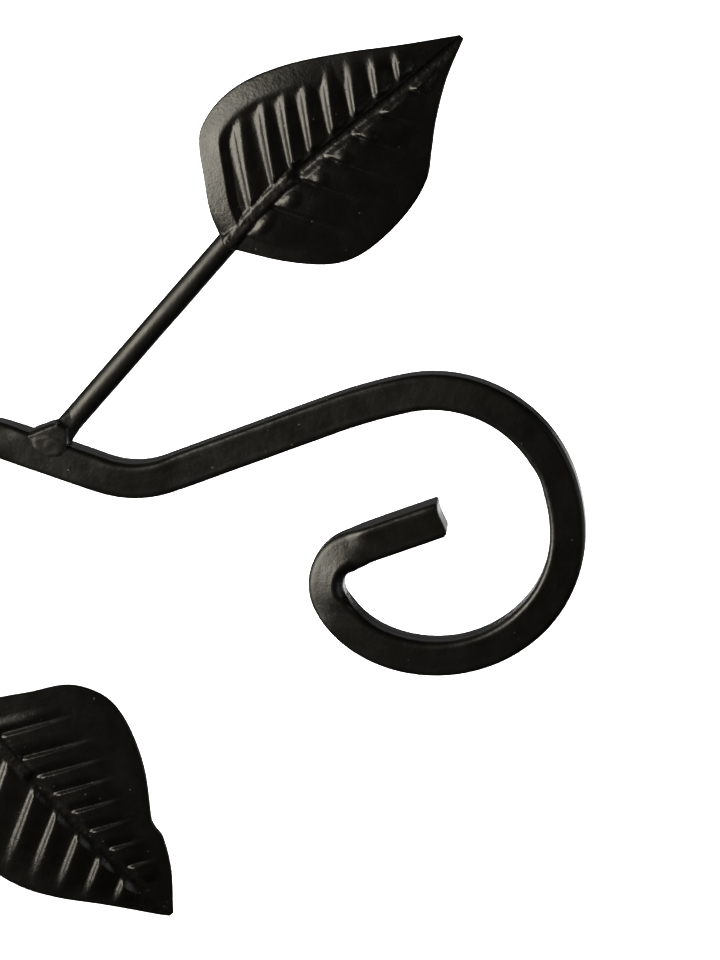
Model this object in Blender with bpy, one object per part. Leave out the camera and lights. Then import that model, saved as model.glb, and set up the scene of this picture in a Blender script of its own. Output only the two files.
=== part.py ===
"""Wall bracket for a hanging plant pot: a scrolled square bar with two stamped leaves.

The wall is the plane X = 0, the arm reaches out along +X, Z is up, and the front is -Y.
The origin is the middle of the wall plate's back face. Sizes are in millimetres and
become metres where a mesh is made.
"""

import math

import bmesh
import bpy

METRES_PER_MM = 0.001

# Edges sharper than this many degrees are not shaded smooth
BAR_SHARP_ANGLE = 50.0
LEAF_SHARP_ANGLE = 50.0

# Gap kept between neighbouring pieces
GAP = 0.3

# Square bar of the arm and the brace
BAR = 10.0
BAR_CORNER_RADIUS = 1.6
CORNER_FACETS = 2
BEND_STEP = 6.0
WELD_LEG = 1.6
TIP_CHAMFER = 0.8

# Wall plate: a flat bar with round ends and a screw hole near each end
PLATE_LENGTH = 230.0
PLATE_WIDTH = 25.0
PLATE_THICKNESS = 5.0
PLATE_EDGE_RADIUS = 0.6
SCREW_HOLE_RADIUS = 3.5
SCREW_HOLE_FROM_END = 14.0
ROUND_END_FACETS = 20
HOLE_FACETS = 24

# Arm, from the plate outwards: a straight is ("run", length), a bend is
# ("bend", centreline radius, degrees), with upward bends positive.
ARM_HEIGHT = 69.0
ARM_LEVEL_RUN = 124.5
ARM_PATH = (
    ("run", ARM_LEVEL_RUN),
    ("bend", 24.0, -18.3),
    ("run", 29.2),
    ("bend", 27.5, 39.4),
    ("run", 48.1),
    ("bend", 160.0, -8.0),
    ("bend", 36.3, -79.8),
    ("bend", 44.6, -23.2),
    ("bend", 35.3, -48.3),
    ("bend", 38.4, -65.0),
    ("bend", 28.5, -36.4),
    ("bend", 10.9, -99.8),
    ("run", 27.0),
)

# Brace: up the plate, round a quarter circle, and out under the arm
BRACE_RADIUS = 112.0
BRACE_FOOT_RUN = 19.0
BRACE_TOP_RUN = 6.0

# Round stems and their hammered feet. A foot ring is (height above the bar, half length
# along the bar, half depth, squareness, share of the turn from the foot to the rod).
STEM_RADIUS = 3.25
STEM_SIDES = 16
STEM_TIP_RADIUS = 2.2
STEM_TIP_LENGTH = 1.2
FOOT_RINGS = (
    (GAP, 6.3, 4.6, 5.0, 0.0),
    (1.3, 5.9, 4.5, 4.0, 0.1),
    (3.0, 4.5, 4.2, 3.0, 0.45),
    (5.0, 3.7, 3.6, 2.4, 0.8),
    (7.4, STEM_RADIUS, STEM_RADIUS, 2.0, 1.0),
)

# Leaves: stamped sheet in front of the stems, domed towards the front
LEAF_THICKNESS = 1.3
LEAF_FRONT = 5.4
LEAF_DOME = 4.0
LEAF_DOME_HALF_WIDTH = 30.0
LEAF_TIP_DROP = 6.0
LEAF_TIP_DROP_START = 30.0
LEAF_LENGTH = 84.0
VEIN_HEIGHT = 1.5
VEIN_FIRST = 5.6
VEIN_START = 2.4
VEIN_RISE = 3.2
VEIN_FADE = (0.45, 0.84)
VEIN_BASE_FADE = (2.0, 7.4)
VEIN_TIP_FADE = (68.0, 80.0)
RIB_ROUNDNESS = 1.2
GROOVE_DEPTH = 0.9
GROOVE_HALF_WIDTH = 3.6
GROOVE_BASE_FADE = (4.0, 10.0)
RIDGE_LENGTH = 27.5
RIDGE_END = 1.5
RIDGE_HALF_WIDTH = 2.2
RIDGE_HEIGHT = 2.0
STEM_PAST_LEAF_BASE = 26.0
CURVE_SAMPLES = 8
LEAF_ROWS = 46
LEAF_BASE_ROWS = 5
LEAF_BASE_STEP = 0.6
LEAF_NEAR_COLUMNS = (1.3, 3.0)
LEAF_NEAR_LIMITS = (0.15, 0.3)
LEAF_FAR_COLUMNS = (0.34, 0.58, 0.82, 1.0)

# Margins of each leaf, base to tip, as (along, across) from the base. The lower leaf's
# left margin is two runs that meet in a small nick.
UPPER_LEAF_LEFT = (
    ((-1.0, -2.2), (2.9, -10.6), (8.5, -17.8), (15.0, -25.6), (20.2, -28.3), (28.0, -28.9),
     (37.0, -26.8), (48.0, -21.0), (60.0, -12.0), (72.0, -1.6), (84.0, 8.4)),
)
UPPER_LEAF_RIGHT = (
    ((-0.4, 0.8), (6.7, 14.0), (14.5, 24.0), (23.5, 28.6), (37.0, 29.9), (48.3, 28.1),
     (56.0, 23.5), (62.9, 19.0), (73.0, 13.8), (84.0, 10.0)),
)
LOWER_LEAF_LEFT = (
    ((-0.8, -1.6), (3.5, -8.9), (8.1, -16.3), (13.4, -25.0), (20.7, -29.7), (28.0, -30.8),
     (37.1, -28.8), (47.3, -24.2), (58.9, -16.1)),
    ((58.9, -16.1), (61.3, -15.5), (65.4, -14.7), (74.0, -9.6), (84.0, -0.8)),
)
LOWER_LEAF_RIGHT = (
    ((-0.4, 1.4), (6.7, 14.0), (14.5, 24.0), (23.5, 28.6), (37.0, 29.9), (48.3, 27.0),
     (58.0, 21.0), (70.0, 11.0), (84.0, 0.8)),
)
UPPER_MIDRIB = ((-0.7, -1.4), (14.0, -1.2), (29.0, 0.3), (45.0, 2.9), (62.0, 6.0), (84.0, 9.2))
LOWER_MIDRIB = ((-0.6, 0.2), (20.0, 0.4), (50.0, 0.4), (84.0, 0.0))

# Veins: angle to the stem's line and spacing along the midrib, left side then right side
VEIN_ANGLES = {"upper_leaf": (55.0, 67.0), "lower_leaf": (64.0, 59.0)}
VEIN_PITCHES = (7.4, 9.8)
VEIN_OFFSETS = (0.0, 2.6)

# Where the stems and leaves are, as (X, Z) on the bracket and degrees above the horizontal
UPPER_STEM_ANGLE = 48.9
UPPER_STEM_POINT = (158.5, 76.4)
UPPER_FOOT_ALONG_SLOPE = 12.2
UPPER_LEAF_BASE = (202.3, 124.0)
UPPER_LEAF_ANGLE = 48.8
LOWER_LEAF_BASE = (125.9, -8.7)
LOWER_LEAF_ANGLE = -48.4

BLACK_POWDER_COAT = (0.022, 0.021, 0.019, 1.0)
DARK_IRON = (0.030, 0.029, 0.027, 1.0)


def clear_scene():
    for obj in list(bpy.data.objects):
        bpy.data.objects.remove(obj)


def make_material(name, color, roughness, metallic):
    material = bpy.data.materials.new(name)
    material.use_nodes = True
    shader = material.node_tree.nodes["Principled BSDF"]
    shader.inputs["Base Color"].default_value = color
    shader.inputs["Roughness"].default_value = roughness
    shader.inputs["Metallic"].default_value = metallic
    return material


def add_object(name, points, faces, material, sharp_angle):
    """Makes one closed body from points in millimetres, with its faces turned outwards."""
    mesh = bpy.data.meshes.new(name)
    mesh.from_pydata([[c * METRES_PER_MM for c in p] for p in points], [], faces)
    bm = bmesh.new()
    bm.from_mesh(mesh)
    bmesh.ops.recalc_face_normals(bm, faces=bm.faces)
    if bm.calc_volume(signed=True) < 0:
        bmesh.ops.reverse_faces(bm, faces=bm.faces)
    bm.to_mesh(mesh)
    bm.free()
    mesh.shade_smooth()
    mesh.set_sharp_from_angle(angle=math.radians(sharp_angle))
    mesh.materials.append(material)
    obj = bpy.data.objects.new(name, mesh)
    bpy.context.scene.collection.objects.link(obj)
    return obj


def loft(name, rings, material, sharp_angle=BAR_SHARP_ANGLE):
    """Joins rings that have equal numbers of points, and closes both ends."""
    count = len(rings[0])
    points = [point for ring in rings for point in ring]
    faces = []
    for i in range(len(rings) - 1):
        for k in range(count):
            a = i * count + k
            b = i * count + (k + 1) % count
            faces.append((a, b, b + count, a + count))
    faces.append(tuple(reversed(range(count))))
    faces.append(tuple(range(len(points) - count, len(points))))
    return add_object(name, points, faces, material, sharp_angle)


def direction(degrees):
    angle = math.radians(degrees)
    return math.cos(angle), math.sin(angle)


def step_from(point, heading, distance):
    dx, dz = direction(heading)
    return point[0] + dx * distance, point[1] + dz * distance


def bend_headings(start, turn):
    """Headings inside a bend, at odd halves of BEND_STEP, so one facet lies level in a dip."""
    low, high = sorted((start, start + turn))
    first = math.ceil(low / BEND_STEP - 0.5)
    last = math.floor(high / BEND_STEP - 0.5)
    inside = [(k + 0.5) * BEND_STEP for k in range(first, last + 1)]
    inside = [h for h in inside if low + 1.0 < h < high - 1.0]
    return inside if turn > 0 else inside[::-1]


def walk(start, heading, path):
    """Stations (point, heading) along a path of runs and bends."""
    stations = [(start, heading)]
    for kind, *sizes in path:
        point, heading = stations[-1]
        if kind == "run":
            stations.append((step_from(point, heading, sizes[0]), heading))
            continue
        radius, turn = sizes
        side = math.copysign(90.0, turn)
        centre = step_from(point, heading + side, radius)
        for h in bend_headings(heading, turn) + [heading + turn]:
            stations.append((step_from(centre, h - side, radius), h))
    return stations


def bar_section(half, corner_radius):
    """Square outline with round corners, as (across, depth) pairs."""
    outline = []
    for k in range(4):
        inner = half - corner_radius
        cx, cy = direction(45.0 + 90.0 * k)
        cx, cy = math.copysign(inner, cx), math.copysign(inner, cy)
        for j in range(CORNER_FACETS + 1):
            dx, dy = direction(90.0 * k + 90.0 * j / CORNER_FACETS)
            outline.append((cx + corner_radius * dx, cy + corner_radius * dy))
    return outline


def bar_ring(point, heading, half=BAR / 2, corner_radius=BAR_CORNER_RADIUS):
    ring = []
    nx, nz = direction(heading + 90.0)
    for across, depth in bar_section(half, corner_radius):
        ring.append((point[0] + across * nx, depth, point[1] + across * nz))
    return ring


def bar_rings(stations, welded_start, welded_end):
    """Rings of a bar, with a weld's flare or a chamfer at each end."""
    rings = [bar_ring(point, heading) for point, heading in stations]
    for index, welded in ((0, welded_start), (-1, welded_end)):
        point, heading = stations[index]
        inwards = heading if index == 0 else heading + 180.0
        if welded:
            flare = bar_ring(point, heading, BAR / 2 + WELD_LEG, BAR_CORNER_RADIUS + WELD_LEG)
            neck = bar_ring(step_from(point, inwards, WELD_LEG), heading)
        else:
            flare = bar_ring(point, heading, BAR / 2 - TIP_CHAMFER / 2, BAR_CORNER_RADIUS)
            neck = bar_ring(step_from(point, inwards, TIP_CHAMFER), heading)
        if index == 0:
            rings[:1] = [flare, neck]
        else:
            rings[-1:] = [neck, flare]
    return rings


def round_end(centre_z, start, radius, facets):
    """Half circle of a plate's end, as (Y, Z) pairs."""
    outline = []
    for k in range(facets + 1):
        dy, dz = direction(start + 180.0 * k / facets)
        outline.append((radius * dy, centre_z + radius * dz))
    return outline


def add_wall_plate(material):
    """A flat curve with two holes, extruded and with rounded edges, stood against the wall."""
    half_width = PLATE_WIDTH / 2
    end_z = PLATE_LENGTH / 2 - half_width
    hole_z = PLATE_LENGTH / 2 - SCREW_HOLE_FROM_END
    outlines = [
        round_end(end_z, 0.0, half_width, ROUND_END_FACETS)
        + round_end(-end_z, 180.0, half_width, ROUND_END_FACETS)
    ]
    for z in (hole_z, -hole_z):
        turns = [direction(360.0 * k / HOLE_FACETS) for k in range(HOLE_FACETS)]
        outlines.append([(SCREW_HOLE_RADIUS * dy, z + SCREW_HOLE_RADIUS * dz) for dy, dz in turns])

    curve = bpy.data.curves.new("wall_plate", "CURVE")
    curve.dimensions = "2D"
    curve.fill_mode = "BOTH"
    curve.extrude = (PLATE_THICKNESS / 2 - PLATE_EDGE_RADIUS) * METRES_PER_MM
    curve.bevel_depth = PLATE_EDGE_RADIUS * METRES_PER_MM
    curve.bevel_resolution = 1
    curve.offset = -PLATE_EDGE_RADIUS * METRES_PER_MM
    for outline in outlines:
        spline = curve.splines.new("POLY")
        spline.points.add(len(outline) - 1)
        spline.use_cyclic_u = True
        for point, (y, z) in zip(spline.points, outline):
            point.co = (y * METRES_PER_MM, z * METRES_PER_MM, 0.0, 1.0)
    curve.materials.append(material)

    # The curve's own X, Y and Z become the bracket's Y, Z and X.
    plate = bpy.data.objects.new("wall_plate", curve)
    plate.location.x = PLATE_THICKNESS / 2 * METRES_PER_MM
    plate.rotation_euler = (math.radians(90.0), 0.0, math.radians(90.0))
    bpy.context.scene.collection.objects.link(plate)


def arm_stations():
    start = (PLATE_THICKNESS + GAP, ARM_HEIGHT)
    return walk(start, 0.0, ARM_PATH)


def brace_corner():
    """Centre of the brace's quarter circle."""
    foot_x = PLATE_THICKNESS + GAP + BAR / 2
    top_z = ARM_HEIGHT - BAR - GAP
    return foot_x + BRACE_RADIUS, top_z - BRACE_RADIUS


def brace_stations():
    corner_x, corner_z = brace_corner()
    start = (corner_x - BRACE_RADIUS, corner_z - BRACE_FOOT_RUN)
    path = (("run", BRACE_FOOT_RUN), ("bend", BRACE_RADIUS, -90.0), ("run", BRACE_TOP_RUN))
    return walk(start, 90.0, path)


def oval_ring(centre, heading, half_wide, half_deep, squareness):
    """Ring around a stem, round at squareness 2 and nearly a rectangle at 5."""
    nx, nz = direction(heading + 90.0)
    ring = []
    for k in range(STEM_SIDES):
        c, s = direction(360.0 * (k + 0.5) / STEM_SIDES)
        across = half_wide * math.copysign(abs(c) ** (2.0 / squareness), c)
        depth = half_deep * math.copysign(abs(s) ** (2.0 / squareness), s)
        ring.append((centre[0] + across * nx, depth, centre[1] + across * nz))
    return ring


def stem_rings(foot, foot_heading, root, heading, end):
    """Rings from a foot that lies on a bar, into a round rod from root to end."""
    lean = math.cos(math.radians(heading - foot_heading))
    rings = []
    for height, half_wide, half_deep, squareness, share in FOOT_RINGS:
        low = step_from(foot, foot_heading, height)
        high = step_from(root, heading, height / lean)
        centre = [a + (b - a) * share for a, b in zip(low, high)]
        turned = foot_heading + (heading - foot_heading) * share
        rings.append(oval_ring(centre, turned, half_wide, half_deep, squareness))
    for back, radius in ((STEM_TIP_LENGTH, STEM_RADIUS), (0.0, STEM_TIP_RADIUS)):
        centre = step_from(end, heading + 180.0, back)
        rings.append(oval_ring(centre, heading, radius, radius, 2.0))
    return rings


def distance_along(point, start, heading):
    dx, dz = direction(heading)
    return (point[0] - start[0]) * dx + (point[1] - start[1]) * dz


def line_meets_line(point, heading, other, other_heading):
    """Where the line through point meets the line through other, each with its heading."""
    dx, dz = direction(heading)
    nx, nz = direction(other_heading + 90.0)
    gap = (other[0] - point[0]) * nx + (other[1] - point[1]) * nz
    return step_from(point, heading, gap / (dx * nx + dz * nz))


def add_upper_stem(material):
    stations = arm_stations()
    slope_heading = ARM_PATH[1][2]
    slope_start = next(point for point, heading in stations if heading == slope_heading)
    top_start = step_from(slope_start, slope_heading + 90.0, BAR / 2)
    foot = step_from(top_start, slope_heading, UPPER_FOOT_ALONG_SLOPE)
    root = line_meets_line(UPPER_STEM_POINT, UPPER_STEM_ANGLE, top_start, slope_heading)
    reach = distance_along(UPPER_LEAF_BASE, root, UPPER_STEM_ANGLE) + STEM_PAST_LEAF_BASE
    end = step_from(root, UPPER_STEM_ANGLE, reach)
    rings = stem_rings(foot, slope_heading + 90.0, root, UPPER_STEM_ANGLE, end)
    loft("upper_stem", rings, material)


def add_lower_stem(material):
    """The rod leaves the hollow side of the brace and runs behind the lower leaf."""
    corner = brace_corner()
    inner_radius = BRACE_RADIUS - BAR / 2
    back = LOWER_LEAF_ANGLE + 180.0
    dx, dz = direction(back)
    ox, oz = LOWER_LEAF_BASE[0] - corner[0], LOWER_LEAF_BASE[1] - corner[1]
    towards = ox * dx + oz * dz
    reach = -towards + math.sqrt(towards**2 - (ox**2 + oz**2) + inner_radius**2)
    root = step_from(LOWER_LEAF_BASE, back, reach)
    inwards = math.degrees(math.atan2(corner[1] - root[1], corner[0] - root[0]))
    end = step_from(LOWER_LEAF_BASE, LOWER_LEAF_ANGLE, STEM_PAST_LEAF_BASE)
    # The flat foot spans a curved bar, so it starts higher by the arc's rise.
    rise = inner_radius - math.sqrt(inner_radius**2 - FOOT_RINGS[0][1] ** 2)
    foot = step_from(root, inwards, rise)
    rings = stem_rings(foot, inwards, root, LOWER_LEAF_ANGLE, end)
    loft("lower_stem", rings, material)


def smooth_run(knots):
    """Catmull-Rom curve through the knots."""
    ends = [
        tuple(2 * a - b for a, b in zip(knots[0], knots[1])),
        tuple(2 * a - b for a, b in zip(knots[-1], knots[-2])),
    ]
    padded = [ends[0], *knots, ends[1]]
    line = []
    for i in range(1, len(padded) - 2):
        p0, p1, p2, p3 = padded[i - 1 : i + 3]
        for k in range(CURVE_SAMPLES):
            t = k / CURVE_SAMPLES
            line.append(
                tuple(
                    0.5 * (2 * b + (c - a) * t + (2 * a - 5 * b + 4 * c - d) * t**2
                           + (3 * b - a - 3 * c + d) * t**3)
                    for a, b, c, d in zip(p0, p1, p2, p3)
                )
            )
    line.append(tuple(knots[-1]))
    return line


def margin_line(runs):
    line = []
    for run in runs:
        line += smooth_run(run)[bool(line):]
    return line


def on_line_at(line, along):
    """Point of a line whose first coordinate is along."""
    for (a0, b0), (a1, b1) in zip(line, line[1:]):
        if a0 <= along <= a1:
            share = (along - a0) / max(a1 - a0, 1e-9)
            return along, b0 + (b1 - b0) * share
    return line[-1] if along > line[-1][0] else line[0]


def margin_share(line, start, heading):
    """How far along the margin, in points, the ray from start meets it."""
    nx, ny = direction(heading + 90.0)
    offsets = [(p[0] - start[0]) * nx + (p[1] - start[1]) * ny for p in line]
    for i, (a, b) in enumerate(zip(offsets, offsets[1:])):
        if a * b <= 0 and a != b:
            return i + a / (a - b)
    return len(line) - 1.0


def at_share(line, share):
    i = min(int(share), len(line) - 2)
    t = share - i
    return tuple(a + (b - a) * t for a, b in zip(line[i], line[i + 1]))


def smooth_step(value, low, high):
    t = min(max((value - low) / (high - low), 0.0), 1.0)
    return t * t * (3 - 2 * t)


class Leaf:
    """A stamped leaf: its two margins, its midrib and the relief pressed into it."""

    def __init__(self, name, left, right, midrib):
        self.midrib = smooth_run(midrib)
        self.margins = {-1: margin_line(left), 1: margin_line(right)}
        self.angles = dict(zip((-1, 1), VEIN_ANGLES[name]))
        self.pitches = dict(zip((-1, 1), VEIN_PITCHES))
        self.offsets = dict(zip((-1, 1), VEIN_OFFSETS))

    def row(self, index, side):
        """Ends of a row of the sheet: on the midrib and on the margin of that side."""
        margin = self.margins[side]
        first, last = self.midrib[0][0], self.midrib[-1][0]
        veined_from = first + LEAF_BASE_ROWS * LEAF_BASE_STEP
        if index <= LEAF_BASE_ROWS:
            inner = on_line_at(self.midrib, first + LEAF_BASE_STEP * index)
            veined = on_line_at(self.midrib, veined_from)
            full = margin_share(margin, veined, self.vein_heading(side))
            return inner, at_share(margin, full * index / LEAF_BASE_ROWS)
        step = (last - veined_from) / (LEAF_ROWS - LEAF_BASE_ROWS)
        inner = on_line_at(self.midrib, veined_from + step * (index - LEAF_BASE_ROWS))
        if index == LEAF_ROWS:
            return inner, margin[-1]
        return inner, at_share(margin, margin_share(margin, inner, self.vein_heading(side)))

    def vein_heading(self, side):
        return side * self.angles[side]

    def columns(self, index, side):
        """Points of a row from the midrib outwards, without the midrib point itself."""
        inner, outer = self.row(index, side)
        length = math.dist(inner, outer)
        near = [min(d / length, most) for d, most in zip(LEAF_NEAR_COLUMNS, LEAF_NEAR_LIMITS)]
        shares = near + list(LEAF_FAR_COLUMNS)
        return [(tuple(a + (b - a) * t for a, b in zip(inner, outer)), t, length) for t in shares]

    def relief(self, point, share, length, side):
        """Height of the pressed pattern: ridge, groove and the rounded ribs between veins."""
        along, across = point
        rib_from = along - abs(across - on_line_at(self.midrib, along)[1]) / math.tan(
            math.radians(self.angles[side])
        )
        out = share * length
        phase = (rib_from - VEIN_FIRST - self.offsets[side]) / self.pitches[side]
        rib = math.cos(math.pi * (phase - round(phase))) ** RIB_ROUNDNESS
        raised = smooth_step(out, VEIN_START, VEIN_START + VEIN_RISE)
        raised *= 1.0 - smooth_step(share, *VEIN_FADE)
        raised *= smooth_step(rib_from, *VEIN_BASE_FADE)
        raised *= 1.0 - smooth_step(rib_from, *VEIN_TIP_FADE)
        ridge = RIDGE_HEIGHT * math.sqrt(max(0.0, 1.0 - (out / RIDGE_HALF_WIDTH) ** 2))
        ridge *= 1.0 - smooth_step(along, RIDGE_LENGTH - RIDGE_END, RIDGE_LENGTH)
        groove = 0.0
        if ridge == 0.0:
            groove = GROOVE_DEPTH * (1.0 - smooth_step(out, 0.0, GROOVE_HALF_WIDTH))
            groove *= smooth_step(along, *GROOVE_BASE_FADE)
        return VEIN_HEIGHT * rib * raised + ridge - groove

    def dome(self, point):
        along, across = point
        past = max(0.0, along - LEAF_TIP_DROP_START) / (LEAF_LENGTH - LEAF_TIP_DROP_START)
        return -LEAF_DOME * (across / LEAF_DOME_HALF_WIDTH) ** 2 - LEAF_TIP_DROP * past**2

    def rows(self):
        """Grid of (along, across, height), left margin to right margin in each row."""
        grid = []
        for index in range(LEAF_ROWS + 1):
            middle = self.row(index, 1)[0]
            sides = {}
            for side in (-1, 1):
                sides[side] = [
                    (*point, self.dome(point) + self.relief(point, share, length, side))
                    for point, share, length in self.columns(index, side)
                ]
            centre = (*middle, self.dome(middle) + self.relief(middle, 0.0, 1.0, 1))
            grid.append(sides[-1][::-1] + [centre] + sides[1])
        return grid


def add_leaf(name, leaf, base, angle, material):
    """Places a leaf's grid on the bracket and closes it as a sheet of even depth."""
    grid = leaf.rows()
    wide = len(grid[0])
    ux, uz = direction(angle)
    points = []
    for depth in (-LEAF_THICKNESS / 2, LEAF_THICKNESS / 2):
        for row in grid:
            for along, across, height in row:
                x = base[0] + along * ux + across * uz
                z = base[1] + along * uz - across * ux
                points.append((x, -LEAF_FRONT - height + depth, z))
    back = len(grid) * wide
    faces = []
    for i in range(len(grid) - 1):
        for k in range(wide - 1):
            a = i * wide + k
            quad = (a, a + 1, a + 1 + wide, a + wide)
            faces.append(quad)
            faces.append(tuple(back + v for v in reversed(quad)))
    rim = list(range(wide))
    rim += [i * wide + wide - 1 for i in range(1, len(grid))]
    rim += [(len(grid) - 1) * wide + k for k in range(wide - 2, -1, -1)]
    rim += [i * wide for i in range(len(grid) - 2, 0, -1)]
    for a, b in zip(rim, rim[1:] + rim[:1]):
        faces.append((b, a, back + a, back + b))
    add_object(name, points, faces, material, LEAF_SHARP_ANGLE)


def main():
    clear_scene()
    add_wall_plate(make_material("plate_powder_coat", BLACK_POWDER_COAT, 0.48, 0.0))
    arm = make_material("arm_powder_coat", BLACK_POWDER_COAT, 0.42, 0.0)
    loft("arm", bar_rings(arm_stations(), True, False), arm)
    brace = make_material("brace_powder_coat", BLACK_POWDER_COAT, 0.42, 0.0)
    loft("brace", bar_rings(brace_stations(), False, False), brace)
    add_upper_stem(make_material("upper_stem_powder_coat", DARK_IRON, 0.42, 0.0))
    add_lower_stem(make_material("lower_stem_powder_coat", DARK_IRON, 0.42, 0.0))
    upper = Leaf("upper_leaf", UPPER_LEAF_LEFT, UPPER_LEAF_RIGHT, UPPER_MIDRIB)
    add_leaf("upper_leaf", upper, UPPER_LEAF_BASE, UPPER_LEAF_ANGLE,
             make_material("upper_leaf_powder_coat", DARK_IRON, 0.45, 0.0))
    lower = Leaf("lower_leaf", LOWER_LEAF_LEFT, LOWER_LEAF_RIGHT, LOWER_MIDRIB)
    add_leaf("lower_leaf", lower, LOWER_LEAF_BASE, LOWER_LEAF_ANGLE,
             make_material("lower_leaf_powder_coat", DARK_IRON, 0.45, 0.0))


main()
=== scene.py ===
import math

import bmesh
import bpy
import numpy as np
from mathutils import Matrix, Vector, noise


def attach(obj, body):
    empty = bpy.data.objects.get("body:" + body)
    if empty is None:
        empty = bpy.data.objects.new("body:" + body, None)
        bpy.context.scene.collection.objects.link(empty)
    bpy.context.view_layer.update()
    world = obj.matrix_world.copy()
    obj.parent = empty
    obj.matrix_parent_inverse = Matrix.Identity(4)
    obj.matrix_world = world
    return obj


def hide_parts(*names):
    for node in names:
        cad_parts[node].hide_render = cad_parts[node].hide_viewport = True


# Looks of a wall bracket for a hanging plant pot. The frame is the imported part's: the wall
# is X = 0, +X runs out along the arm, +Z is up and the front is -Y. Sizes are in millimetres
# and become metres where a mesh is made.
MM = 0.001
BODY = "root"
NOISE_SEED = 1

# Square bar of the arm and the brace
BAR_HALF = 5.0
BAR_CORNER_RADIUS = 1.4
CORNER_FACETS = 7
FACE_POINTS = 14
WELD_GAP = 0.3
STATION_STEP = 1.3
STATION_TURN = 1.0
TURN_BLEND = 3.0
# How a bend changes the bar's depth: its outer side thins, its inner side bulges up to a crest
OUTER_THINNING = 0.85
PRESS_RISE = 0.8
PRESS_CREST = 0.2
PRESS_FALL = 1.1
# Drop of a bend's inner edge: (width, depth, bend at which it is full)
PRESS_EDGE = (2.2, 0.5, 0.1)
# Bead beside each corner: (height, distance from the middle of the face, width)
EDGE_BEAD = (0.055, 3.35, 0.45)
# Unevenness of drawn bar: (depth, size)
BAR_WAVE = (0.045, 11.0)

# Wall plate
PLATE_LENGTH = 230.0
PLATE_WIDTH = 25.0
PLATE_THICKNESS = 5.0
PLATE_EDGE_RADIUS = 0.6
SCREW_HOLE_RADIUS = 3.5
SCREW_HOLE_Z = 101.0
PLATE_ROUND_FACETS = 64
PLATE_EDGE_FACETS = 4
PLATE_SHARP_ANGLE = 35.0
PLATE_MERGE = 0.02

# Arm from the plate outwards, and the brace under it
ARM_HEIGHT = 69.0
ARM_START_GAP = 0.05
ARM_PATH = (
    ("run", 124.5),
    ("bend", 24.0, -18.3),
    ("run", 29.2),
    ("bend", 27.5, 39.4),
    ("run", 48.1),
    ("bend", 160.0, -8.0),
    ("bend", 36.3, -79.8),
    ("bend", 44.6, -23.2),
    ("bend", 35.3, -48.3),
    ("bend", 38.4, -65.0),
    ("bend", 28.5, -36.4),
    ("bend", 10.9, -99.8),
    ("run", 27.0),
)
# Marks of the bending tools on the arm's hollow side: (distance along, height, reach towards
# the wall side, reach towards the tip)
ARM_NICKS = ((427.5, 0.95, 6.0, 8.0), (301.0, -0.3, 6.0, 6.0))
# Side of the bar that a mark reaches: (from, full at), out from the centreline
NICK_SIDE = (1.0, 5.0)
# Roll of the scroll's tip towards the front: (distance along from, to, full roll in radians)
TIP_ROLL = (405.0, 445.0, 0.06)
# Rounding of a bar's end: (how far before the end, share of the section)
END_ROUNDING = ((0.55, 1.0), (0.33, 0.99), (0.15, 0.965), (0.04, 0.93), (0.0, 0.89))
END_SHARES = (0.8, 0.65, 0.5, 0.35, 0.2, 0.08)
# Outline of the scroll's sheared end: (across the bar, how far it stands out)
SHEAR_KNOTS = ((-5.6, -1.9), (-4.8, -0.5), (-3.7, 0.2), (-2.0, 0.15), (-0.3, 0.0), (1.4, -0.05),
               (3.0, 0.1), (4.2, 0.3), (4.9, 0.15), (5.6, -0.5))
SHEAR_ROOM = 2.9
BRACE_RADIUS = 112.0
BRACE_PATH = (("run", 19.0), ("bend", BRACE_RADIUS, -90.0), ("run", 6.0))

# Stems
STEM_RADIUS = 3.25
STEM_FACETS = 48
STEM_STEP = 1.6
STEM_SINK = 3.0
STEM_END_ROOM = 1.2
# Rounding of a stem's end: (how far before the end, radius)
STEM_END = ((0.7, 3.17), (0.3, 2.9), (0.06, 2.5), (0.0, 2.1))
STEM_PAST_LEAF_BASE = 26.0
UPPER_STEM_ANGLE = 48.9
UPPER_STEM_POINT = (158.5, 76.4)

# Hammered foot of a stem, as (along the bar, out of the bar, depth) from the stem's root
FOOT_BLOCK = (
    (-7.2, -1.0, -5.1), (-2.9, 2.5, -5.1), (-0.6, 4.9, -5.1), (2.4, 4.2, -4.9), (3.6, 1.0, -4.9),
    (3.6, -1.2, -4.9), (-7.3, 0.2, -3.9), (-2.9, 3.8, -3.6), (-0.9, 5.6, -3.4), (2.6, 5.8, -3.2),
    (4.3, 0.5, -3.4), (-7.2, -0.8, 5.0), (-2.9, 3.0, 5.0), (-0.7, 4.8, 4.8), (2.4, 4.4, 4.6),
    (3.6, -1.0, 4.8), (-7.3, 0.3, 4.0), (-2.9, 3.9, 3.8), (-0.9, 5.4, 3.4), (2.6, 5.6, 3.2),
    (4.3, 0.5, 3.4), (-6.6, -2.6, -4.4), (3.8, -2.6, -4.4), (-6.6, -2.6, 4.4), (3.8, -2.6, 4.4),
)
FOOT_NECK = (
    (-1.6, 4.4, -3.9), (-1.6, 4.4, 3.9), (3.0, 3.0, -4.3), (3.0, 3.0, 4.3), (4.2, 0.2, -3.0),
    (4.2, 0.2, 3.0), (-1.0, 2.0, -4.4), (-1.0, 2.0, 4.4),
)
FOOT_NECK_END = (10.0, 2.9)
FOOT_SMEAR = (
    (-7.3, -1.2), (-4.8, -3.7), (-0.2, -4.8), (3.4, -3.2), (4.6, -1.4), (3.8, 1.2), (-2.0, 2.0),
)
FOOT_SMEAR_DEPTHS = ((1.0, -4.7), (0.97, -5.0), (0.7, -5.25))
FOOT_LUMP = (-0.7, 5.7, -4.3)
FOOT_LUMP_RADIUS = 0.9
FOOT_VOXEL = 0.25
FOOT_SMOOTHING = 6
FOOT_SOFTNESS = 0.5
# Hammer marks, here and below: (depth, size)
FOOT_HAMMER = (0.13, 2.4)

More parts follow.
